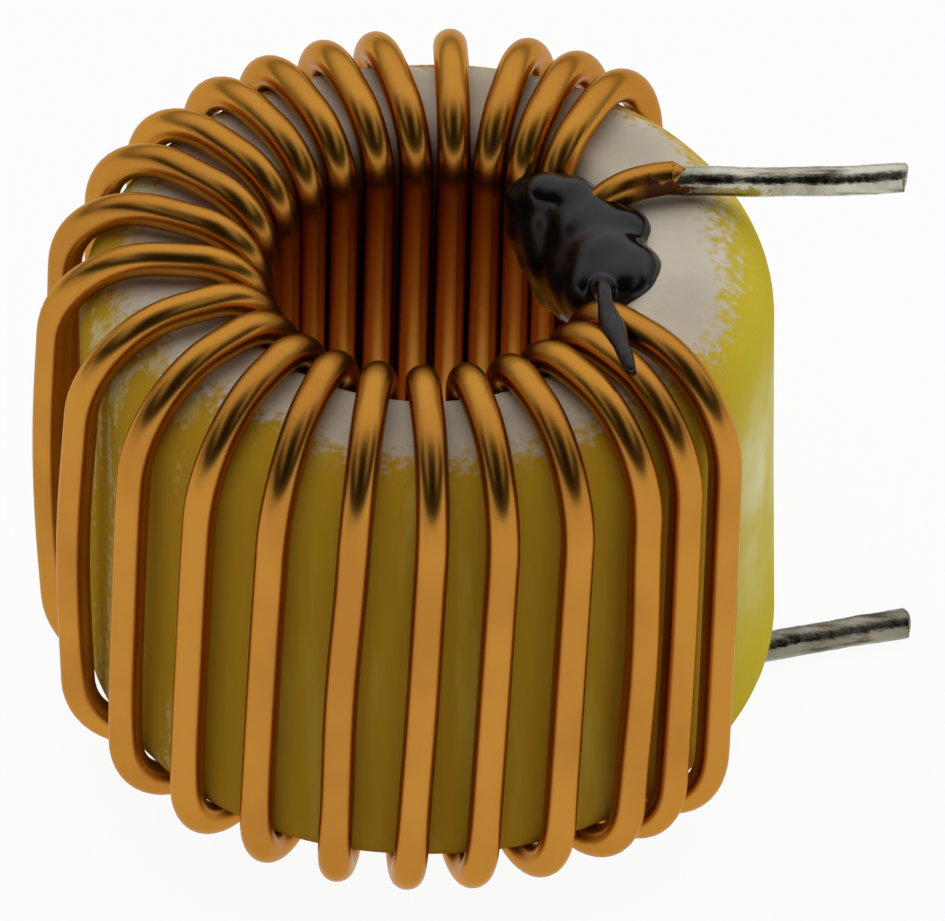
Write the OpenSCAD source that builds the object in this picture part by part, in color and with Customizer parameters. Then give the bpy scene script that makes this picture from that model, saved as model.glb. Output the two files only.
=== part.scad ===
/* [Core] */
// Outside diameter of the coated ring core
core_od = 15.2; // [14.4:0.1:20]
// Inside diameter of the coated ring core
core_id = 8.5; // [8.4:0.1:9]
// Height of the coated ring core
core_h = 11.6; // [9:0.1:16]
// Rounding of the core's outer edges
outer_edge_r = 1.6; // [0.6:0.1:1.8]
// Rounding of the core's inner edges
inner_edge_r = 0.4; // [0.2:0.1:0.8]

/* [Winding] */
// Diameter of the wire over its enamel
wire_d = 0.76; // [0.66:0.02:0.78]
// Number of full turns on the core
turns = 23; // [12:1:23]
// Arc of the core that the outer legs spread over, in degrees
outer_arc = 268; // [200:1:270]
// Arc of the bore that the inner legs spread over, in degrees
inner_arc = 299; // [297:1:302]
// Direction of the first turn's outer leg, in degrees from the leads
first_outer = -37; // [-40:1:-34]
// Direction of the first turn's inner leg, in degrees from the leads
first_inner = -29; // [-31:1:-27]
// How far an outer leg's foot lies ahead of its head, in degrees
leg_lean = 5; // [0:0.5:7]
// How far an inner leg's foot lies behind its head, in degrees
bore_lean = 5; // [0:0.5:7]
// Gap between the wire and the core's flat faces
face_gap = 0.06; // [0.04:0.01:0.2]
// Gap between the inner legs and the bore
bore_gap = 0.08; // [0.06:0.01:0.16]
// How far the outer legs' ends stand off the core's wall
outer_slack = 0.2; // [0.15:0.05:0.5]
// How far the outer legs bow out at half their height
leg_bow = 0.06; // [0.03:0.01:0.2]
// How much further they bow on the side away from the leads
side_bow = 0.25; // [0:0.05:0.4]

/* [Leads] */
// How far the lead tips reach past the core's wall
lead_reach = 3; // [2:0.1:6]
// Length of the start lead from its inner leg to its outward bend
start_run = 2; // [1.8:0.05:2.6]
// Direction of that length, in degrees
start_way = 3; // [1:0.5:12]
// Length of the finish lead from its inner leg to its outward bend
finish_run = 2; // [1.8:0.05:2.6]
// Direction of that length, in degrees
finish_way = 50; // [30:1:60]
// Direction of the finish lead's tinned end, in degrees
finish_turn = 16; // [4:1:24]
// Bend radius of both leads where they turn outward
lead_bend_r = 1.5; // [1:0.1:2]
// Length of enamel left on the start lead past its outward bend
enamel_tail = 0.08; // [0.04:0.01:0.6]
// Diameter of the stripped copper
copper_d = 0.6; // [0.5:0.01:0.64]
// Length of stripped copper inside each tinned end
stub_l = 0.6; // [0.3:0.05:1]
// Thickness of the solder on the stripped copper
solder_t = 0.05; // [0.03:0.005:0.08]
// How much thinner the solder is where the enamel ends
solder_taper = 0.015; // [0.005:0.005:0.025]
// Distance from the core's wall to the full thickness of solder
pin_clear = 0.3; // [0.1:0.05:0.8]
// Chamfer on the cut tip of each lead
tip_chamfer = 0.1; // [0.04:0.01:0.2]

/* [Adhesive] */
// Radius of the dab beside the start lead
dab_r = 0.7; // [0.5:0.05:0.9]
// How far along the start lead the dab lies
dab_run = 0.6; // [0.4:0.05:0.8]
// Radius of the lobe that ran out over the core's face
lobe_r = 0.85; // [0.7:0.05:0.95]
// Direction of the lobe, in degrees from the leads
lobe_way = -10; // [-12:1:-4]
// Radius of the drip between the first and last inner legs
drip_r = 1.05; // [0.9:0.05:1.1]
// Diameter of the thread drawn over the first turns
thread_d = 0.26; // [0.15:0.01:0.4]
// Diameter of the beads along the thread
bead_d = 0.34; // [0.3:0.01:0.5]
// Film of air left between bonded faces
bond_gap = 0.005; // [0.002:0.001:0.02]

/* [Hidden] */
$fn = 48;

// Relative gaps from each outer leg and each inner leg to the next, as laid by hand
outer_gaps = [9, 8, 12, 12, 11, 12, 13, 13, 14, 16, 20, 16, 15, 11, 12, 10, 10, 9, 13, 14, 9, 9];
inner_gaps = [24, 26, 24, 27, 27, 27, 27, 25, 27, 24, 24, 26, 28, 30, 28, 27, 27, 26, 25, 24, 24, 25, 25];
// Clearance that a bend keeps from the core's edge, as a share of the smaller gap beside it
edge_share = 0.5;
// Share of a leg's straight length that is taken up by its bow
bow_share = 0.7;

// Heights, with the lowest wire resting on z = 0
core_z = wire_d + face_gap;
core_top = core_z + core_h;
low_z = wire_d / 2;
high_z = core_top + face_gap + wire_d / 2;

half_leg = (high_z - low_z) / 2;

// Distance of the inner and outer legs from the axis, and the bends that carry them round the core's edges
inner_r = core_id / 2 - bore_gap - wire_d / 2;
inner_bend_r = bend_round(inner_edge_r, bore_gap, face_gap);
outer_r = core_od / 2 + outer_slack + wire_d / 2;
outer_bend_r = bend_round(outer_edge_r, outer_slack, face_gap);

// Widest bend that clears an edge of radius edge_r, with gaps a and b on the faces beside it
function bend_round(edge_r, a, b) = let (
    clear = edge_share * min(a, b),
    both = a + b - clear
) edge_r + wire_d / 2 + both + sqrt(both * both - a * a - b * b + clear * clear);

function unit(v) = v / norm(v);
function polar(r, a, z) = [r * cos(a), r * sin(a), z];
function sum_to(list, n) = n <= 0 ? 0 : list[(n - 1) % len(list)] + sum_to(list, n - 1);

// Directions of turn k's outer leg at its head and of its inner leg, with k from 1
function outer_a(k) = first_outer - outer_arc * sum_to(outer_gaps, k - 1) / sum_to(outer_gaps, turns - 1);
function inner_a(k) = first_inner - inner_arc * sum_to(inner_gaps, k - 1) / sum_to(inner_gaps, turns);

// Bow of turn k's outer leg at half its height, and the bend radius that gives it
function bow(k) = leg_bow + side_bow * pow(max(0, -cos(outer_a(k))), 2);
function bow_r(k) = bow_share * (half_leg - outer_bend_r) * half_leg / bow(k);

// Corners of turn k: up the bore, out over the top and down the wall
function turn_corners(k) = [
    polar(inner_r, inner_a(k) + bore_lean, low_z),
    polar(inner_r, inner_a(k), high_z),
    polar(outer_r, outer_a(k), high_z),
    polar(outer_r + bow(k), outer_a(k) - leg_lean / 2, low_z + half_leg),
    polar(outer_r, outer_a(k) - leg_lean, low_z)
];

// The two leads, from the bore's first and last legs to their tips
tip_x = core_od / 2 + lead_reach;
finish_foot = polar(inner_r, inner_a(1) + bore_lean, low_z);
finish_bend = finish_foot + polar(finish_run, finish_way, 0);
finish_dir = polar(1, finish_turn, 0);
finish_tip = finish_bend + finish_dir * (tip_x - finish_bend[0]) / finish_dir[0];
start_head = polar(inner_r, inner_a(turns + 1), high_z);
start_bend = start_head + polar(start_run, start_way, 0);
start_dir = [1, 0, 0];
start_tip = [tip_x, start_bend[1], high_z];
tinned_l = start_tip[0] - start_bend[0] - lead_bend_r * tan(start_way / 2) - enamel_tail;
pin_l = lead_reach - pin_clear - tip_chamfer;

// Corners of the enamelled wire from end to end, and the bend radius at each
route = [
    finish_tip - finish_dir * tinned_l,
    finish_bend,
    for (k = [1:turns]) each turn_corners(k),
    polar(inner_r, inner_a(turns + 1) + bore_lean, low_z),
    start_head,
    start_bend,
    start_tip - start_dir * tinned_l
];
bends = [
    0,
    lead_bend_r,
    for (k = [1:turns]) each [inner_bend_r, inner_bend_r, outer_bend_r, bow_r(k), outer_bend_r],
    inner_bend_r,
    inner_bend_r,
    lead_bend_r,
    0
];
last = len(route) - 1;

// Places of the adhesive: the drip lies in the gap between the first and last inner legs, the dab against the
// start lead and the lobe over the core's inner edge, and the drip and the lobe are sunk by a share of their radius
drop_share = 0.3;
drip_way = (inner_a(1) + inner_a(turns + 1) + 360) / 2;
drip_at = polar(inner_r - drop_share * drip_r, drip_way, core_top - drop_share * drip_r);
dab_at = start_head + polar(dab_run, start_way, core_top - high_z)
    + polar(wire_d / 2 + bond_gap + dab_r, start_way - 90, 0);
lobe_at = polar((core_id + drop_share * lobe_r) / 2, lobe_way, core_top - drop_share * lobe_r / 2);

// The thread lies on the crests of the first two turns, at these lengths from their inner legs
thread_runs = [0.8, 1.5];
function crest(k, run) = polar(inner_r, inner_a(k), high_z + wire_d / 2 + bead_d / 2 + bond_gap)
    + run * unit(polar(outer_r, outer_a(k), 0) - polar(inner_r, inner_a(k), 0));
thread_route = [lobe_at + [0, 0, lobe_r - thread_d], crest(1, thread_runs[0]), crest(2, thread_runs[1])];

function way(i) = unit(route[i + 1] - route[i]);
function bend_angle(i) = acos(way(i - 1) * way(i));
function setback(i) = bends[i] == 0 ? 0 : bends[i] * tan(bend_angle(i) / 2);

// Places children at p with their Z axis along w
module along(p, w) {
    side = unit(abs(w[2]) < 0.9 ? cross([0, 0, 1], w) : cross([1, 0, 0], w));
    up = cross(w, side);
    multmatrix([
        [side[0], up[0], w[0], p[0]],
        [side[1], up[1], w[1], p[1]],
        [side[2], up[2], w[2], p[2]]
    ])
        children();
}

// Straight stretch of wire from corner i to the next, between their bends
module straight(i, d) {
    length = norm(route[i + 1] - route[i]) - setback(i) - setback(i + 1);
    along(route[i] + way(i) * setback(i), way(i))
        cylinder(h = length, d = d);
}

// Round bend of the wire at corner i
module bend(i, d) {
    w = way(i - 1);
    inward = unit(way(i) - w * (w * way(i)));
    axis = cross(w, inward);
    centre = route[i] - w * setback(i) + inward * bends[i];
    multmatrix([
        [-inward[0], w[0], axis[0], centre[0]],
        [-inward[1], w[1], axis[1], centre[1]],
        [-inward[2], w[2], axis[2], centre[2]]
    ])
        rotate_extrude(angle = bend_angle(i))
            translate([bends[i], 0])
                circle(d = d);
}

// Stretch of the wire from corner a to corner b, at diameter d
module wire(a, b, d) {
    for (i = [a:b - 1]) straight(i, d);
    for (i = [a + 1:b - 1]) bend(i, d);
}

// Quarter-round cut for the corner of a section, at the origin
module edge_cut(r) {
    difference() {
        square(r);
        translate([r, r])
            circle(r);
    }
}

module core() {
    color("#cdbf7a")
        translate([0, 0, core_z])
            rotate_extrude()
                difference() {
                    translate([core_id / 2, 0])
                        square([(core_od - core_id) / 2, core_h]);
                    for (top = [0, 1])
                        translate([0, top * core_h])
                            mirror([0, top]) {
                                translate([core_id / 2, 0])
                                    edge_cut(inner_edge_r);
                                translate([core_od / 2, 0])
                                    mirror([1, 0])
                                        edge_cut(outer_edge_r);
                            }
                }
}

module winding() {
    color("#b8782e") {
        wire(0, last, wire_d);
        along(route[0], finish_dir)
            cylinder(h = stub_l, d = copper_d);
        along(route[last], start_dir)
            cylinder(h = stub_l, d = copper_d);
    }
}

// Tinned end of the wire along +Z: a socket for the stripped copper, then a taper up to a straight pin
module tinning() {
    bore = copper_d / 2 + bond_gap;
    skin = copper_d / 2 + solder_t;
    rotate_extrude()
        polygon([
            [bore, bond_gap],
            [skin - solder_taper, bond_gap],
            [skin, tinned_l - tip_chamfer - pin_l],
            [skin, tinned_l - tip_chamfer],
            [skin - tip_chamfer, tinned_l],
            [0, tinned_l],
            [0, stub_l + bond_gap],
            [bore, stub_l + bond_gap]
        ]);
}

module start_tinning() {
    color("#8d8d86")
        along(route[last], start_dir)
            tinning();
}

module finish_tinning() {
    color("#8d8d86")
        along(route[0], finish_dir)
            tinning();
}

// Thread of adhesive with a bead at each place where it turns
module thread() {
    for (i = [0:len(thread_route) - 2])
        along(thread_route[i], unit(thread_route[i + 1] - thread_route[i]))
            cylinder(h = norm(thread_route[i + 1] - thread_route[i]), d = thread_d);
    for (i = [1:len(thread_route) - 1])
        translate(thread_route[i])
            sphere(d = bead_d);
}

module adhesive() {
    color("#1b1a1c")
        difference() {
            union() {
                translate(drip_at)
                    sphere(drip_r);
                translate(dab_at)
                    sphere(dab_r);
                translate(lobe_at)
                    sphere(lobe_r);
                thread();
            }
            core();
        }
}

core();
winding();
start_tinning();
finish_tinning();
adhesive();
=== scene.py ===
import math
import random

import bmesh
import bpy
import numpy as np
from mathutils import Matrix, Vector, noise


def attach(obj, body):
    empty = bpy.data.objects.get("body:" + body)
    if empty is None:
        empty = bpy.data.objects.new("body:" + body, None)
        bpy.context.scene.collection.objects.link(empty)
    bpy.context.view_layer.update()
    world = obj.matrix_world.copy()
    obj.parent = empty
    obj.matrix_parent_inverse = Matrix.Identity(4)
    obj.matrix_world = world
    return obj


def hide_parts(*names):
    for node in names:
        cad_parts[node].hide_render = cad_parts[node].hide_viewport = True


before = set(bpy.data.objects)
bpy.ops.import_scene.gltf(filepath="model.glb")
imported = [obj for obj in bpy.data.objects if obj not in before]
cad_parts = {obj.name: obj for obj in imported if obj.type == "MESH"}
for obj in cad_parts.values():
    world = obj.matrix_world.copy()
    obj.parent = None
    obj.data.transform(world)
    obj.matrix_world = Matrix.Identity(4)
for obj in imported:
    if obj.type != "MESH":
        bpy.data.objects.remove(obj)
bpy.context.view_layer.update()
print("frame loaded:", ", ".join(sorted(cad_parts)))

mm = 0.001  # shapes are worked out in millimetres and shrunk to metres at the end

# Driving sizes, as on the CAD: the ring's radii and height, the wire over its enamel, and the gaps between
part = dict(outer=7.6, inner=4.25, height=11.6, wire=0.76, faceGap=0.06, boreGap=0.08, wallGap=0.2)
ringLow = part["wire"] + part["faceGap"]
ringHigh = ringLow + part["height"]
ringMiddle = (ringLow + ringHigh) / 2

# Camera at the photograph's angle: a long lens, aimed so that the ring's axis lands where it does there
photo = dict(width=945, height=921, pixelsPerMm=45.25, elevation=41, roll=-0.006,
             axisPixel=(430.5, 458.5), axisPoint=(0, 0, ringMiddle), lens=1500, sensor=36, clipStart=0.01)


def makeCamera(p):
    e = math.radians(p["elevation"])
    ahead = Vector((0, math.cos(e), -math.sin(e)))
    across = Vector((1, 0, 0))
    upward = Vector((0, math.sin(e), math.cos(e)))
    c, s = math.cos(p["roll"]), math.sin(p["roll"])
    right = c * across + s * upward
    up = c * upward - s * across
    scale = p["pixelsPerMm"]
    aim = Vector(p["axisPoint"])
    aim += (p["width"] / 2 - p["axisPixel"][0]) / scale * right
    aim += (p["axisPixel"][1] - p["height"] / 2) / scale * up
    distance = p["lens"] / p["sensor"] * p["width"] / scale
    data = bpy.data.cameras.new("photoCamera")
    data.lens = p["lens"]
    data.sensor_fit = "HORIZONTAL"
    data.sensor_width = p["sensor"]
    data.clip_start = p["clipStart"]
    cam = bpy.data.objects.new("photoCamera", data)
    turn = Matrix((right, up, -ahead)).transposed().to_4x4()
    cam.matrix_world = Matrix.Translation((aim - ahead * distance) * mm) @ turn
    bpy.context.scene.collection.objects.link(cam)
    bpy.context.scene.camera = cam


makeCamera(photo)
print("camera placed")


def link(tree, a, b):
    tree.links.new(a, b)


def node(tree, kind, **settings):
    n = tree.nodes.new(kind)
    for key, value in settings.items():
        setattr(n, key, value)
    return n


def mathNode(tree, how, a, b=None):
    n = node(tree, "ShaderNodeMath", operation=how)
    for i, v in enumerate((a, b)):
        if v is None:
            continue
        if isinstance(v, (int, float)):
            n.inputs[i].default_value = v
        else:
            link(tree, v, n.inputs[i])
    return n.outputs[0]


def times(tree, *factors):
    result = factors[0]
    for factor in factors[1:]:
        result = mathNode(tree, "MULTIPLY", result, factor)
    return result


def spread(tree, value, amount):
    # a noise value as a shift to either side of nothing
    return times(tree, mathNode(tree, "SUBTRACT", value, 0.5), amount)


def ramp(tree, value, low, high, toLow=0.0, toHigh=1.0):
    n = node(tree, "ShaderNodeMapRange", interpolation_type="SMOOTHSTEP")
    n.inputs["From Min"].default_value = low
    n.inputs["From Max"].default_value = high
    n.inputs["To Min"].default_value = toLow
    n.inputs["To Max"].default_value = toHigh
    link(tree, value, n.inputs["Value"])
    return n.outputs["Result"]


def mixColour(tree, factor, a, b):
    n = node(tree, "ShaderNodeMix", data_type="RGBA")
    link(tree, factor, n.inputs["Factor"])
    for v, socket in ((a, n.inputs[6]), (b, n.inputs[7])):
        if isinstance(v, tuple):
            socket.default_value = (*v, 1)
        else:
            link(tree, v, socket)
    return n.outputs[2]


def mixShader(tree, factor, a, b):
    n = node(tree, "ShaderNodeMixShader")
    for i, v in enumerate((factor, a.outputs[0], b.outputs[0])):
        link(tree, v, n.inputs[i])
    return n.outputs[0]


def splitPlace(tree, kind="Object"):
    split = node(tree, "ShaderNodeSeparateXYZ")
    link(tree, node(tree, "ShaderNodeTexCoord").outputs[kind], split.inputs[0])
    return split.outputs


# Studio: a bright surround, with a dark band above the table's edge at the front and the sides, a dark column
# above the camera, as the wire's bends show them, and a dimmer horizon at the back
studio = dict(bright=1.0, left=0.75, dim=0.003, leftX=(-0.95, -0.25), tableZ=(0.27, 0.33),
              bandY=(0.0, 0.45), bandTop=(0.58, 0.92), columnX=(0.25, 0.75), columnY=(-0.3, 0.35),
              horizon=(0.1, 0.5), horizonDim=0.35, horizonY=(-0.1, 0.35),
              floorHalf=1.5, floorColour=(0.9, 0.9, 0.895), floorGlow=0.94, floorSheen=0.93,
              boreSheen=0.8, bore=(0.003, 0.0045), lampAim=(0, 0, 0.007))
lamps = dict(rightLamp=dict(place=(0.5, 0.1, 0.22), size=0.5, watts=0.65),
             topLamp=dict(place=(-0.1, 0.05, 0.7), size=0.6, watts=1.1))


def seenDirectly(tree, path):
    return mathNode(tree, "MAXIMUM", path.outputs["Is Camera Ray"], path.outputs["Is Transmission Ray"])


def makeWorld(p):
    world = bpy.data.worlds.new("studioSurround")
    bpy.context.scene.world = world
    world.use_nodes = True
    tree = world.node_tree
    tree.nodes.clear()
    x, y, z = splitPlace(tree, "Generated")
    level = ramp(tree, x, *p["leftX"], p["left"], p["bright"])
    back = ramp(tree, z, *p["horizon"], p["horizonDim"], 1)
    back = mathNode(tree, "MAXIMUM", back, ramp(tree, y, *p["horizonY"], 1, 0))
    band = times(tree, ramp(tree, y, *p["bandY"], 1, 0), ramp(tree, z, *p["bandTop"], 1, 0))
    aside = mathNode(tree, "ABSOLUTE", x)
    column = times(tree, ramp(tree, aside, *p["columnX"], 1, 0), ramp(tree, y, *p["columnY"], 1, 0))
    dark = times(tree, mathNode(tree, "MAXIMUM", band, column), ramp(tree, z, *p["tableZ"]))
    lit = mathNode(tree, "SUBTRACT", 1.0, dark)
    level = mathNode(tree, "MAXIMUM", times(tree, level, back, lit), p["dim"])
    surround = node(tree, "ShaderNodeBackground")
    link(tree, level, surround.inputs["Strength"])
    plain = node(tree, "ShaderNodeBackground")
    for light in (surround, plain):
        light.inputs["Color"].default_value = (1, 1, 1, 1)
    shown = seenDirectly(tree, node(tree, "ShaderNodeLightPath"))
    both = mixShader(tree, shown, surround, plain)
    link(tree, both, node(tree, "ShaderNodeOutputWorld").inputs["Surface"])


def makeFloor(p):
    mesh = bpy.data.meshes.new("floor")
    half = p["floorHalf"]
    corners = [(-half, -half, 0), (half, -half, 0), (half, half, 0), (-half, half, 0)]
    mesh.from_pydata(corners, [], [(0, 1, 2, 3)])
    floor = bpy.data.objects.new("floor", mesh)
    bpy.context.scene.collection.objects.link(floor)
    finish = bpy.data.materials.new("paleFloor")
    finish.use_nodes = True
    tree = finish.node_tree
    tree.nodes.clear()
    # the floor glows in the wire's reflections too, less so inside the bore
    away = node(tree, "ShaderNodeVectorMath", operation="LENGTH")
    link(tree, node(tree, "ShaderNodeTexCoord").outputs["Object"], away.inputs[0])
    sheen = ramp(tree, away.outputs["Value"], *p["bore"], p["boreSheen"], p["floorSheen"])
    path = node(tree, "ShaderNodeLightPath")
    glowing = mathNode(tree, "MAXIMUM", times(tree, seenDirectly(tree, path), p["floorGlow"]),
                       times(tree, path.outputs["Is Glossy Ray"], sheen))
    matt = node(tree, "ShaderNodeBsdfDiffuse")
    matt.inputs["Color"].default_value = (*p["floorColour"], 1)
    glow = node(tree, "ShaderNodeEmission")
    glow.inputs["Color"].default_value = (1, 1, 1, 1)
    both = mixShader(tree, glowing, matt, glow)
    link(tree, both, node(tree, "ShaderNodeOutputMaterial").inputs["Surface"])
    mesh.materials.append(finish)


def softLamp(name, p, aim):
    data = bpy.data.lights.new(name, "AREA")
    data.size = p["size"]
    data.energy = p["watts"]
    lamp = bpy.data.objects.new(name, data)
    lamp.location = Vector(p["place"])
    lamp.visible_glossy = lamp.visible_camera = False
    lamp.rotation_euler = (Vector(aim) - Vector(p["place"])).to_track_quat("-Z", "Y").to_euler()
    bpy.context.scene.collection.objects.link(lamp)


makeWorld(studio)
makeFloor(studio)
for lampName, lampValues in lamps.items():
    softLamp(lampName, lampValues, studio["lampAim"])
bpy.context.scene.view_settings.view_transform = "Standard"
print("studio lit")


def groupTree(name, inputs, outputs):
    tree = bpy.data.node_groups.new(name, "ShaderNodeTree")
    for label, kind, value in inputs:
        socket = tree.interface.new_socket(label, in_out="INPUT", socket_type=kind)
        socket.default_value = value
    for label in outputs:
        tree.interface.new_socket(label, in_out="OUTPUT", socket_type="NodeSocketFloat")
    return tree, tree.nodes.new("NodeGroupInput"), tree.nodes.new("NodeGroupOutput")


def makeMottle():
    # slow drift of tone over a surface, and a finer grain on top of it
    inputs = [("Scale", "NodeSocketFloat", 300.0), ("Grain", "NodeSocketFloat", 3000.0)]
    tree, src, out = groupTree("mottle", inputs, ["Drift", "Grain"])
    where = node(tree, "ShaderNodeTexCoord").outputs["Object"]
    for socket, label in (("Scale", "Drift"), ("Grain", "Grain")):
        n = node(tree, "ShaderNodeTexNoise")
        n.inputs["Detail"].default_value = 3
        link(tree, where, n.inputs["Vector"])
        link(tree, src.outputs[socket], n.inputs["Scale"])
        link(tree, n.outputs["Fac"], out.inputs[label])
    return tree


def makeStreaks():
    # marks drawn out along one direction
    inputs = [("Stretch", "NodeSocketVector", (1, 1, 1)), ("Scale", "NodeSocketFloat", 900.0)]
    tree, src, out = groupTree("streaks", inputs, ["Mark"])
    drawn = node(tree, "ShaderNodeMapping")
    link(tree, node(tree, "ShaderNodeTexCoord").outputs["Object"], drawn.inputs["Vector"])
    link(tree, src.outputs["Stretch"], drawn.inputs["Scale"])
    n = node(tree, "ShaderNodeTexNoise")
    n.inputs["Detail"].default_value = 4
    n.inputs["Roughness"].default_value = 0.6
    link(tree, drawn.outputs[0], n.inputs["Vector"])
    link(tree, src.outputs["Scale"], n.inputs["Scale"])
    link(tree, n.outputs["Fac"], out.inputs["Mark"])
    return tree


def makeSpecks():
    # small dark specks of dirt, in a share of the cells
    inputs = [("Scale", "NodeSocketFloat", 900.0), ("Size", "NodeSocketFloat", 0.1),
              ("Share", "NodeSocketFloat", 0.1)]
    tree, src, out = groupTree("specks", inputs, ["Mask"])
    cells = node(tree, "ShaderNodeTexVoronoi")
    link(tree, node(tree, "ShaderNodeTexCoord").outputs["Object"], cells.inputs["Vector"])
    link(tree, src.outputs["Scale"], cells.inputs["Scale"])
    split = node(tree, "ShaderNodeSeparateColor")
    link(tree, cells.outputs["Color"], split.inputs[0])
    near = mathNode(tree, "LESS_THAN", cells.outputs["Distance"], src.outputs["Size"])
    few = mathNode(tree, "LESS_THAN", split.outputs[0], src.outputs["Share"])
    link(tree, times(tree, near, few), out.inputs["Mask"])
    return tree


# Darker, rougher brown on the lower side of the start lead, near its tinned end. Here and in the finishes
# below, places and depths are in metres, as the shaders read them
leadUnderside = dict(colour=(0.1, 0.032, 0.012), roughness=0.6, fromX=(0.0043, 0.0049), fromY=(0.0012, 0.0014),
            fromZ=(0.0118, 0.0122), upTo=(0.0148, 0.015), endsAt=(0.0203, 0.0205), ragged=0.0012)


def makeLeadUnderside(p):
    tree, src, out = groupTree("leadUndersideMask", [("Grain", "NodeSocketFloat", 0.5)], ["Mask"])
    x, y, z = splitPlace(tree)
    ragged = spread(tree, src.outputs["Grain"], p["ragged"])
    under = mathNode(tree, "ADD", mathNode(tree, "ADD", y, z), ragged)
    end = mathNode(tree, "ADD", under, x)
    mask = times(tree, ramp(tree, x, *p["fromX"]), ramp(tree, y, *p["fromY"]), ramp(tree, z, *p["fromZ"]),
                 ramp(tree, under, *p["upTo"], 1, 0), ramp(tree, end, *p["endsAt"], 1, 0))
    link(tree, mask, out.inputs["Mask"])
    return tree


mottleTree = makeMottle()
streaksTree = makeStreaks()
specksTree = makeSpecks()
leadUndersideTree = makeLeadUnderside(leadUnderside)


def placeGroup(tree, group, **values):
    n = node(tree, "ShaderNodeGroup", node_tree=group)
    for key, value in values.items():
        n.inputs[key].default_value = value
    return n.outputs


def placeLeadUnderside(tree, grain):
    n = node(tree, "ShaderNodeGroup", node_tree=leadUndersideTree)
    link(tree, grain, n.inputs["Grain"])
    return n.outputs["Mask"]


def newFinish(name):
    finish = bpy.data.materials.new(name)
    finish.use_nodes = True
    return finish, finish.node_tree, finish.node_tree.nodes["Principled BSDF"]


def bump(tree, height, distance):
    n = node(tree, "ShaderNodeBump")
    n.inputs["Distance"].default_value = distance
    n.inputs["Strength"].default_value = 1
    link(tree, height, n.inputs["Height"])
    return n.outputs["Normal"]


enamel = dict(light=(0.54, 0.244, 0.036), deep=(0.47, 0.198, 0.03), speck=(0.06, 0.025, 0.01),
              edge=(0.85, 0.66, 0.45), drift=(0.35, 0.65), roughness=0.27, relief=0.000008,
              coat=0.06, coatRoughness=0.14, coatIor=1.5)


def enamelFinish(p):
    finish, tree, skin = newFinish("amberEnamel")
    tone = placeGroup(tree, mottleTree, Scale=260.0, Grain=2600.0)
    spots = placeGroup(tree, specksTree, Scale=700.0, Size=0.07, Share=0.03)
    colour = mixColour(tree, ramp(tree, tone["Drift"], *p["drift"]), p["deep"], p["light"])
    colour = mixColour(tree, spots["Mask"], colour, p["speck"])
    # darker, rougher brown on the start lead's lower side, near its tinned end
    onLeadUnderside = placeLeadUnderside(tree, tone["Grain"])
    colour = mixColour(tree, onLeadUnderside, colour, leadUnderside["colour"])
    link(tree, colour, skin.inputs["Base Color"])
    rougher = times(tree, onLeadUnderside, leadUnderside["roughness"] - p["roughness"])
    link(tree, mathNode(tree, "ADD", rougher, p["roughness"]), skin.inputs["Roughness"])
    link(tree, bump(tree, tone["Drift"], p["relief"]), skin.inputs["Normal"])
    skin.inputs["Metallic"].default_value = 1
    skin.inputs["Specular Tint"].default_value = (*p["edge"], 1)
    skin.inputs["Coat Weight"].default_value = p["coat"]
    skin.inputs["Coat Roughness"].default_value = p["coatRoughness"]
    skin.inputs["Coat IOR"].default_value = p["coatIor"]
    return finish


# The right wall's brighter yellow is painted light, and its pale band at half height is a painted sheen
paint = dict(yellow=(0.54, 0.315, 0.021), paleYellow=(0.6, 0.42, 0.05), paintedLitYellow=(0.62, 0.49, 0.04),
             paintedSheenColour=(0.8, 0.76, 0.42), white=(0.7, 0.62, 0.5), shade=(0.58, 0.505, 0.4),
             scrape=(0.62, 0.5, 0.22), speck=(0.05, 0.045, 0.03), drift=(0.35, 0.65),
             edgeRadius=0.00665, fade=0.0004, backShift=0.035, ragged=0.0022, wander=0.0016,
             facesFrom=(0.0047, 0.0054), runs=(0.5, 0.72), jagged=0.3, scrapes=(0.68, 0.76),
             scrapedX=(-0.0062, -0.0045), paintedLitX=(0.005, 0.0072), paintedSheenX=(0.0062, 0.0074),
             paintedSheenFrom=(0.0025, 0.0075), paintedSheenTo=(0.0098, 0.0116), paintedSheenDrift=(0.35, 0.7),
             leastPaintedSheen=0.25, wallRoughness=0.4, faceRoughness=0.6, grainRelief=0.15, relief=0.00003)


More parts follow.
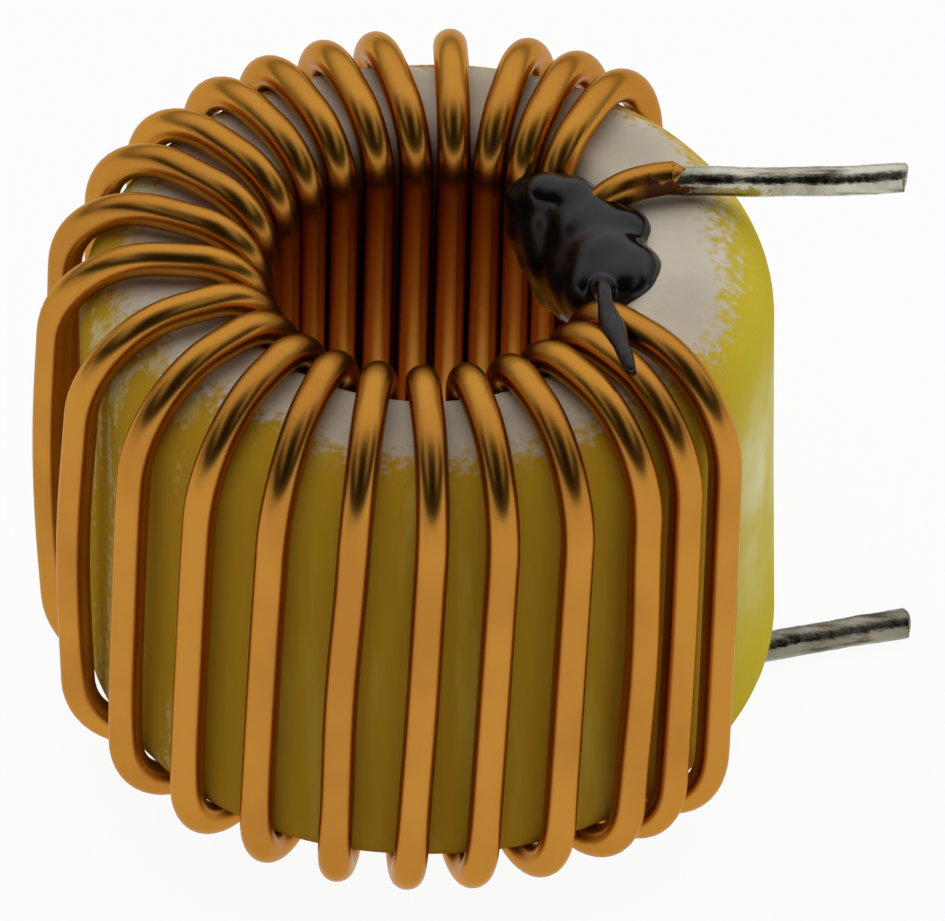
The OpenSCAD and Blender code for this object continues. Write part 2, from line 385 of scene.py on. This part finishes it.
def paintFinish(p):
    finish, tree, skin = newFinish("corePaint")
    tone = placeGroup(tree, mottleTree, Scale=420.0, Grain=5200.0)
    spots = placeGroup(tree, specksTree, Scale=1300.0, Size=0.07, Share=0.09)
    runs = placeGroup(tree, streaksTree, Stretch=(1, 1, 0.12), Scale=900.0)["Mark"]
    x, y, z = splitPlace(tree)
    radius = mathNode(tree, "SQRT", mathNode(tree, "ADD", times(tree, x, x), times(tree, y, y)))
    # the white faces end in a ragged, sprayed line near the rim, further out at the back
    reach = mathNode(tree, "SUBTRACT", radius, times(tree, y, p["backShift"]))
    reach = mathNode(tree, "ADD", reach, mathNode(tree, "ADD", spread(tree, tone["Grain"], p["ragged"]),
                                                  spread(tree, tone["Drift"], p["wander"])))
    onFace = ramp(tree, reach, p["edgeRadius"] - p["fade"], p["edgeRadius"] + p["fade"], 1, 0)
    fromMiddle = mathNode(tree, "ABSOLUTE", mathNode(tree, "SUBTRACT", z, ringMiddle * mm))
    onFace = times(tree, onFace, ramp(tree, fromMiddle, *p["facesFrom"]))
    # pale run marks down the wall
    yellow = mixColour(tree, ramp(tree, runs, *p["runs"]), p["yellow"], p["paleYellow"])
    # scraped pale between the turns at the left
    marks = mathNode(tree, "ADD", runs, times(tree, tone["Grain"], p["jagged"]))
    scraped = times(tree, ramp(tree, marks, *p["scrapes"]), ramp(tree, x, *p["scrapedX"], 1, 0))
    yellow = mixColour(tree, scraped, yellow, p["scrape"])
    # painted light: the right side is painted brighter where light falls on it, and a pale painted sheen
    # covers it at half its height
    yellow = mixColour(tree, ramp(tree, x, *p["paintedLitX"]), yellow, p["paintedLitYellow"])
    # painted sheen: a pale, patchy band near the right rim, between low and high on the wall
    paintedSheen = times(tree, ramp(tree, z, *p["paintedSheenFrom"]), ramp(tree, z, *p["paintedSheenTo"], 1, 0),
                   ramp(tree, x, *p["paintedSheenX"]),
                   ramp(tree, tone["Drift"], *p["paintedSheenDrift"], p["leastPaintedSheen"], 1))
    yellow = mixColour(tree, paintedSheen, yellow, p["paintedSheenColour"])
    white = mixColour(tree, ramp(tree, tone["Drift"], *p["drift"]), p["shade"], p["white"])
    colour = mixColour(tree, onFace, yellow, white)
    colour = mixColour(tree, spots["Mask"], colour, p["speck"])
    link(tree, colour, skin.inputs["Base Color"])
    link(tree, ramp(tree, onFace, 0, 1, p["wallRoughness"], p["faceRoughness"]), skin.inputs["Roughness"])
    height = mathNode(tree, "ADD", tone["Drift"], times(tree, tone["Grain"], p["grainRelief"]))
    link(tree, bump(tree, mathNode(tree, "ADD", height, runs), p["relief"]), skin.inputs["Normal"])
    skin.inputs["Specular IOR Level"].default_value = 0
    return finish


solder = dict(bright=(0.6, 0.575, 0.47), dull=(0.37, 0.35, 0.27), stain=(0.085, 0.07, 0.045),
              drift=(0.38, 0.66), streaks=(0.51, 0.66), darkerBelowZ=(0.001, 0.004), bottomDarkening=0.5,
              grain=(0.3, 0.7), roughness=(0.18, 0.36), relief=0.00002)


def solderFinish(p):
    finish, tree, skin = newFinish("dullSolder")
    tone = placeGroup(tree, mottleTree, Scale=700.0, Grain=5000.0)
    streaks = placeGroup(tree, streaksTree, Stretch=(0.16, 1, 1), Scale=2600.0)["Mark"]
    colour = mixColour(tree, ramp(tree, tone["Drift"], *p["drift"]), p["dull"], p["bright"])
    colour = mixColour(tree, ramp(tree, streaks, *p["streaks"]), colour, p["stain"])
    # darker brown on the start lead's lower side, near its tinned end
    colour = mixColour(tree, placeLeadUnderside(tree, tone["Grain"]), colour, leadUnderside["colour"])
    # darker towards the bottom
    nearBottom = ramp(tree, splitPlace(tree)[2], *p["darkerBelowZ"], p["bottomDarkening"], 0)
    colour = mixColour(tree, nearBottom, colour, p["stain"])
    link(tree, colour, skin.inputs["Base Color"])
    link(tree, ramp(tree, tone["Grain"], *p["grain"], *p["roughness"]), skin.inputs["Roughness"])
    link(tree, bump(tree, mathNode(tree, "ADD", streaks, tone["Grain"]), p["relief"]), skin.inputs["Normal"])
    skin.inputs["Metallic"].default_value = 1
    return finish


glue = dict(black=(0.005, 0.0045, 0.0045), bloom=(0.014, 0.012, 0.011), bloomDrift=(0.5, 0.75),
            drift=(0.35, 0.7), roughness=(0.1, 0.3), relief=0.00002, specular=0.36)


def glueFinish(p):
    finish, tree, skin = newFinish("blackGlue")
    tone = placeGroup(tree, mottleTree, Scale=900.0, Grain=4200.0)
    colour = mixColour(tree, ramp(tree, tone["Drift"], *p["bloomDrift"]), p["black"], p["bloom"])
    link(tree, colour, skin.inputs["Base Color"])
    link(tree, ramp(tree, tone["Drift"], *p["drift"], *p["roughness"]), skin.inputs["Roughness"])
    link(tree, bump(tree, tone["Drift"], p["relief"]), skin.inputs["Normal"])
    skin.inputs["Specular IOR Level"].default_value = p["specular"]
    return finish


enamelSkin = enamelFinish(enamel)
paintSkin = paintFinish(paint)
solderSkin = solderFinish(solder)
glueSkin = glueFinish(glue)
print("finishes made")


def newPiece(name, mesh, finish, slot, *nodes):
    mesh.name = name
    piece = bpy.data.objects.new(name, mesh)
    bpy.context.scene.collection.objects.link(piece)
    mesh.materials.clear()
    mesh.materials.append(finish)
    for face in mesh.polygons:
        face.use_smooth = True
    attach(piece, "root")
    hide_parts(*nodes)
    print(name, len(mesh.polygons), "faces")


def meshFrom(name, points, faces):
    mesh = bpy.data.meshes.new(name)
    mesh.from_pydata([tuple(p) for p in points], [], faces)
    mesh.transform(Matrix.Scale(mm, 4))
    work = bmesh.new()
    work.from_mesh(mesh)
    bmesh.ops.recalc_face_normals(work, faces=work.faces)
    work.to_mesh(mesh)
    work.free()
    return mesh


# Ring core: its section swung round the axis, with the slight hollows of dipped paint
ring = dict(outerEdge=1.52, innerEdge=0.8, around=320, edgeSteps=12, wallSteps=30, faceSteps=8, boreSteps=16,
            dip=0.03, meanDip=0.5, dipSwing=0.6, swell=0.12, swellRise=2, waves=(0.55, 0.55, 0.16),
            ripples=(1.4, 1.4, 0.5), rippleShare=0.4, rippleShift=(9, 0, 0))


def ringSection(p):
    line = []
    outer, inner = part["outer"], part["inner"]
    oe, ie = p["outerEdge"], p["innerEdge"]

    def corner(r, z, edge, start):
        for k in range(p["edgeSteps"] + 1):
            a = math.radians(start + 90 * k / p["edgeSteps"])
            line.append((r + edge * math.cos(a), z + edge * math.sin(a)))

    def straight(a, b, steps):
        for k in range(1, steps):
            line.append((a[0] + (b[0] - a[0]) * k / steps, a[1] + (b[1] - a[1]) * k / steps))

    corner(outer - oe, ringLow + oe, oe, -90)
    straight((outer, ringLow + oe), (outer, ringHigh - oe), p["wallSteps"])
    corner(outer - oe, ringHigh - oe, oe, 0)
    straight((outer - oe, ringHigh), (inner + ie, ringHigh), p["faceSteps"])
    corner(inner + ie, ringHigh - ie, ie, 90)
    straight((inner, ringHigh - ie), (inner, ringLow + ie), p["boreSteps"])
    corner(inner + ie, ringLow + ie, ie, 180)
    straight((inner + ie, ringLow), (outer - oe, ringLow), p["faceSteps"])
    return line


def makeCore(p):
    section = ringSection(p)
    count, around = len(section), p["around"]
    middle = Vector(((part["outer"] + part["inner"]) / 2, ringMiddle))
    halfWall = part["outer"] - middle.x
    waves, ripples, shift = (Vector(p[key]) for key in ("waves", "ripples", "rippleShift"))
    points, faces = [], []
    for i in range(around):
        a = 2 * math.pi * i / around
        leftward = min(1, max(0, -p["swellRise"] * math.cos(a)))
        for r, z in section:
            spot = Vector((r * math.cos(a), r * math.sin(a), z))
            uneven = noise.noise(spot * waves) + p["rippleShare"] * noise.noise(spot * ripples + shift)
            sink = p["dip"] * min(1, max(0, p["meanDip"] + p["dipSwing"] * uneven))
            inward = (middle - Vector((r, z))).normalized() * sink
            swell = p["swell"] * leftward * max(0, r - middle.x) / halfWall
            rr, zz = r + inward.x + swell, z + inward.y
            points.append((rr * math.cos(a), rr * math.sin(a), zz))
    for i in range(around):
        for k in range(count):
            j, m = (i + 1) % around, (k + 1) % count
            faces.append((i * count + k, j * count + k, j * count + m, i * count + m))
    newPiece("paintedCore", meshFrom("paintedCore", points, faces), paintSkin, "core_paint", "core")


makeCore(ring)

# Winding: one wire from the finish lead, up the bore and down the wall turn by turn, to the start lead. It is
# drawn a hair thinner than on the CAD, so that its sway stays inside the CAD's box
winding = dict(diameter=0.756, turns=23, outerArc=268, innerArc=299, firstOuter=-37, firstInner=-29,
               lean=5, boreLean=5, innerBend=1.34, outerBend=2.311, arch=0.08, sway=0.1, seed=11,
               legBow=0.06, sideBow=0.25, bowShare=0.7, leadReach=3, leadBend=1.5, enamelTail=0.08,
               startRun=2, startWay=3, startEarly=6, finishRun=2, finishWay=50, finishTurn=16,
               outerGaps=[9, 8, 12, 12, 11, 12, 13, 13, 14, 16, 20, 16, 15, 11, 12, 10, 10, 9, 13, 14, 9, 9],
               innerGaps=[24, 26, 24, 27, 27, 27, 27, 25, 27, 24, 24, 26,
                          28, 30, 28, 27, 27, 26, 25, 24, 24, 25, 25],
               innerRadius=part["inner"] - part["boreGap"] - part["wire"] / 2,
               outerRadius=part["outer"] + part["wallGap"] + part["wire"] / 2,
               lowZ=part["wire"] / 2, highZ=ringHigh + part["faceGap"] + part["wire"] / 2,
               sides=24, arcSteps=14, legSteps=6)


def polar(r, degrees, z):
    a = math.radians(degrees)
    return np.array((r * math.cos(a), r * math.sin(a), z))


def unit(v):
    return v / np.linalg.norm(v)


def windingCorners(p):
    inner, outer, low, high = p["innerRadius"], p["outerRadius"], p["lowZ"], p["highZ"]
    half = (high - low) / 2
    tipX = part["outer"] + p["leadReach"]

    def outerWay(k):
        return p["firstOuter"] - p["outerArc"] * sum(p["outerGaps"][:k]) / sum(p["outerGaps"])

    def innerWay(k):
        return p["firstInner"] - p["innerArc"] * sum(p["innerGaps"][:k]) / sum(p["innerGaps"])

    startElbow = polar(inner, innerWay(p["turns"]), high) + polar(p["startRun"], p["startWay"], 0)
    elbowEnd = p["leadBend"] * math.tan(math.radians(p["startWay"] / 2)) + p["enamelTail"]
    startBase = startElbow + np.array((elbowEnd, 0, 0))
    tinned = tipX - startBase[0]
    finishElbow = polar(inner, innerWay(0) + p["boreLean"], low) + polar(p["finishRun"], p["finishWay"], 0)
    finishWay = polar(1, p["finishTurn"], 0)
    finishTip = finishElbow + finishWay * (tipX - finishElbow[0]) / finishWay[0]
    corners, bends = [finishTip - finishWay * tinned, finishElbow], [0, p["leadBend"]]
    for k in range(p["turns"]):
        bow = p["legBow"] + p["sideBow"] * max(0, -math.cos(math.radians(outerWay(k)))) ** 2
        corners += [polar(inner, innerWay(k) + p["boreLean"], low), polar(inner, innerWay(k), high),
                    polar(outer, outerWay(k), high),
                    polar(outer + bow, outerWay(k) - p["lean"] / 2, low + half),
                    polar(outer, outerWay(k) - p["lean"], low)]
        bends += [p["innerBend"], p["innerBend"], p["outerBend"],
                  p["bowShare"] * (half - p["outerBend"]) * half / bow, p["outerBend"]]
    # the last leg stands a little earlier, so that the start lead rises gently from it
    early = innerWay(p["turns"]) - p["startEarly"]
    corners += [polar(inner, early + p["boreLean"], low), polar(inner, early, high), startElbow, startBase]
    bends += [p["innerBend"], p["innerBend"], p["leadBend"], 0]
    return corners, bends, finishWay, tinned


def filletPath(corners, bends, arcSteps, legSteps):
    last = len(corners) - 1
    ways = [unit(corners[i + 1] - corners[i]) for i in range(last)]
    turn = [0.0] + [math.acos(float(np.clip(ways[i - 1] @ ways[i], -1, 1))) for i in range(1, last)] + [0.0]
    setback = [bends[i] * math.tan(turn[i] / 2) for i in range(last + 1)]
    path = []
    for i in range(last):
        a = corners[i] + ways[i] * setback[i]
        b = corners[i + 1] - ways[i] * setback[i + 1]
        path += [a + (b - a) * k / legSteps for k in range(legSteps + 1)]
        if i + 1 < last:
            inward = unit(ways[i + 1] - ways[i] * (ways[i] @ ways[i + 1]))
            centre = b + inward * bends[i + 1]
            for k in range(1, arcSteps):
                a = turn[i + 1] * k / arcSteps
                path.append(centre + bends[i + 1] * (ways[i] * math.sin(a) - inward * math.cos(a)))
    return path


def swayLegs(p, path):
    # legs laid by hand sway a little sideways between their bends, and the runs over the top arch a little
    low, high = p["lowZ"] + p["outerBend"], p["highZ"] - p["outerBend"]
    dice = random.Random(p["seed"])
    swayed, amount, onLeg = [], 0.0, False
    span = p["outerRadius"] - p["innerRadius"]
    for spot in path:
        reach = (math.hypot(spot[0], spot[1]) - p["innerRadius"]) / span
        was, onLeg = onLeg, low < spot[2] < high and reach > 0.5
        if onLeg and not was:
            amount = dice.uniform(-1, 1) * p["sway"]
        if onLeg:
            side = unit(np.array((-spot[1], spot[0], 0)))
            spot = spot + side * amount * math.sin(math.pi * (spot[2] - low) / (high - low)) ** 2
        elif spot[2] > high and 0 < reach < 1:
            spot = spot + np.array((0, 0, p["arch"] * math.sin(math.pi * reach) ** 2))
        swayed.append(spot)
    return swayed


def wireTree():
    tree = bpy.data.node_groups.new("wireAlongPath", "GeometryNodeTree")
    tree.is_modifier = True
    inputs = dict(Geometry="NodeSocketGeometry", Radius="NodeSocketFloat", Sides="NodeSocketInt",
                  Finish="NodeSocketMaterial")
    for label, kind in inputs.items():
        tree.interface.new_socket(label, in_out="INPUT", socket_type=kind)
    tree.interface.new_socket("Geometry", in_out="OUTPUT", socket_type="NodeSocketGeometry")
    src, out = tree.nodes.new("NodeGroupInput"), tree.nodes.new("NodeGroupOutput")
    circle = node(tree, "GeometryNodeCurvePrimitiveCircle")
    sweep = node(tree, "GeometryNodeCurveToMesh")
    sweep.inputs["Fill Caps"].default_value = True
    real = node(tree, "GeometryNodeRealizeInstances")
    coat = node(tree, "GeometryNodeSetMaterial")
    link(tree, src.outputs["Radius"], circle.inputs["Radius"])
    link(tree, src.outputs["Sides"], circle.inputs["Resolution"])
    link(tree, src.outputs["Geometry"], sweep.inputs["Curve"])
    link(tree, circle.outputs["Curve"], sweep.inputs["Profile Curve"])
    link(tree, sweep.outputs["Mesh"], real.inputs["Geometry"])
    link(tree, real.outputs["Geometry"], coat.inputs["Geometry"])
    link(tree, src.outputs["Finish"], coat.inputs["Material"])
    link(tree, coat.outputs["Geometry"], out.inputs["Geometry"])
    return tree


def sweepWire(name, path, radius, sides, finish):
    curve = bpy.data.curves.new(name + "Path", "CURVE")
    curve.dimensions = "3D"
    spline = curve.splines.new("POLY")
    spline.points.add(len(path) - 1)
    for point, spot in zip(spline.points, path):
        point.co = (*spot, 1)
    holder = bpy.data.objects.new(name + "Path", curve)
    bpy.context.scene.collection.objects.link(holder)
    rule = holder.modifiers.new("wire", "NODES")
    rule.node_group = wireTree()
    sockets = {s.name: s.identifier for s in rule.node_group.interface.items_tree if s.in_out == "INPUT"}
    rule[sockets["Radius"]] = radius
    rule[sockets["Sides"]] = sides
    rule[sockets["Finish"]] = finish
    view = bpy.context.evaluated_depsgraph_get()
    mesh = bpy.data.meshes.new_from_object(holder.evaluated_get(view), depsgraph=view)
    holder.modifiers.remove(rule)
    bpy.data.objects.remove(holder)
    bpy.data.curves.remove(curve)
    mesh.transform(Matrix.Scale(mm, 4))
    return mesh


corners, bends, finishWay, tinnedLength = windingCorners(winding)


def makeWinding(p):
    path = swayLegs(p, filletPath(corners, bends, p["arcSteps"], p["legSteps"]))
    mesh = sweepWire("woundWire", path, p["diameter"] / 2, p["sides"], enamelSkin)
    newPiece("woundWire", mesh, enamelSkin, "enamelled_copper", "winding")


makeWinding(winding)

# Tinned ends: solder that flowed unevenly over the stripped wire, cut off with pliers
tinnedEnd = dict(radius=0.335, thickest=0.349, sides=32, rings=90, lump=0.018, fineLump=0.0072,
                 lumpScale=1.2, fineScale=4, along=1.1, across=0.6, tipShare=0.82, cutSlant=0.12,
                 cutBack=0.03)
startEnd = dict(sag=0.06, rise=0.4, riseFrom=0.6, swing=0.0, seed=3.1)
finishEnd = dict(sag=0.0, rise=0.0, riseFrom=0.6, swing=-0.14, seed=8.4)


def makeTinnedEnd(name, base, way, p, end, cadNode):
    side = unit(np.cross((0, 0, 1), way))
    up = np.cross(way, side)
    rings, sides = p["rings"], p["sides"]
    points, faces = [], []
    for i in range(rings + 1):
        t = i / rings
        lift = end["rise"] * max(0, t - end["riseFrom"]) ** 2 - end["sag"] * math.sin(math.pi * t)
        centre = base + way * tinnedLength * t + up * lift + side * end["swing"] * t * t
        for k in range(sides):
            a = 2 * math.pi * k / sides
            out = side * math.cos(a) + up * math.sin(a)
            spot = Vector(centre * p["along"] + out * p["across"]) + Vector((end["seed"], 0, 0))
            r = p["radius"] + p["lump"] * noise.noise(spot * p["lumpScale"])
            r += p["fineLump"] * noise.noise(spot * p["fineScale"])
            back = 0.0
            if i == rings:
                r *= p["tipShare"]
            if i >= rings - 1:
                back = p["cutSlant"] * (0.5 - 0.5 * math.sin(a)) + p["cutBack"]
            points.append(centre + out * min(r, p["thickest"]) - way * back)
    for i in range(rings):
        for k in range(sides):
            m = (k + 1) % sides
            faces.append((i * sides + k, i * sides + m, (i + 1) * sides + m, (i + 1) * sides + k))
    faces.append(tuple(range(sides - 1, -1, -1)))
    faces.append(tuple(rings * sides + k for k in range(sides)))
    newPiece(name, meshFrom(name, points, faces), solderSkin, "solder", cadNode)


makeTinnedEnd("startTinnedEnd", corners[-1], np.array((1.0, 0, 0)), tinnedEnd, startEnd, "start_tinning")
makeTinnedEnd("finishTinnedEnd", corners[0], finishWay, tinnedEnd, finishEnd, "finish_tinning")

# Adhesive: drops, each a place and a radius, that ran together over the first and last legs, and a thread
# drawn over the next turns
drops = dict(voxel=0.05, smooth=200, threadSmooth=10, threadSteps=6, roundness=3, flow=0.5,
             spots=[(2.12, 2.72, 11.8, 0.56), (2.62, 2.35, 12.2, 0.64), (3.17, 2.05, 12.3, 0.66),
                    (2.22, 2.55, 11.1, 0.6), (2.46, 2.25, 10.5, 0.58), (2.85, 1.55, 10.3, 0.66),
                    (3.25, 0.85, 10.6, 0.7), (2.73, 2.0, 11.5, 0.8), (2.89, 1.5, 11.1, 0.82),
                    (3.5, 1.25, 12.0, 0.84), (3.4, 0.6, 11.4, 0.9), (4.05, 1.0, 12.15, 0.76),
                    (4.35, 1.05, 12.25, 0.64), (3.95, 0.15, 12.0, 0.94), (4.42, -0.2, 12.05, 0.84),
                    (4.32, -0.65, 12.1, 0.78), (3.75, -0.45, 11.85, 0.84), (3.75, 1.5, 12.25, 0.66),
                    (3.6, 0.1, 11.4, 0.9)],
             thread=[(3.85, -0.9, 12.3, 0.36), (3.79, -1.35, 12.65, 0.26), (3.8, -1.8, 13.16, 0.2),
                     (3.83, -2.2, 13.4, 0.17), (3.86, -2.6, 13.36, 0.18), (3.94, -2.95, 13.24, 0.25),
                     (4.03, -3.28, 13.2, 0.3), (4.11, -3.6, 13.24, 0.26), (4.2, -3.95, 13.28, 0.2),
                     (4.31, -4.35, 13.3, 0.18), (4.4, -4.7, 13.26, 0.14)])


def flowTogether(name, p, spots, smooth, more=None):
    work = bmesh.new()
    for x, y, z, r in spots:
        place = Matrix.Translation((x, y, z))
        bmesh.ops.create_icosphere(work, subdivisions=p["roundness"], radius=r, matrix=place)
    if more:
        work.from_mesh(more)
    rough = bpy.data.meshes.new(name)
    work.to_mesh(rough)
    work.free()
    holder = bpy.data.objects.new(name, rough)
    bpy.context.scene.collection.objects.link(holder)
    skin = holder.modifiers.new("skin", "REMESH")
    skin.mode = "VOXEL"
    skin.voxel_size = p["voxel"]
    flow = holder.modifiers.new("flow", "SMOOTH")
    flow.factor = p["flow"]
    flow.iterations = smooth
    view = bpy.context.evaluated_depsgraph_get()
    mesh = bpy.data.meshes.new_from_object(holder.evaluated_get(view), depsgraph=view)
    bpy.data.objects.remove(holder)
    bpy.data.meshes.remove(rough)
    return mesh


def makeGlue(p):
    body = flowTogether("glueBody", p, p["spots"], p["smooth"])
    spots = []
    for a, b in zip(p["thread"], p["thread"][1:]):
        for k in range(p["threadSteps"]):
            t = k / p["threadSteps"]
            spots.append(tuple(a[i] + (b[i] - a[i]) * t for i in range(4)))
    spots.append(p["thread"][-1])
    mesh = flowTogether("glueDrops", p, spots, p["threadSmooth"], body)
    bpy.data.meshes.remove(body)
    mesh.transform(Matrix.Scale(mm, 4))
    newPiece("glueBlob", mesh, glueSkin, "black_adhesive", "adhesive")


makeGlue(drops)
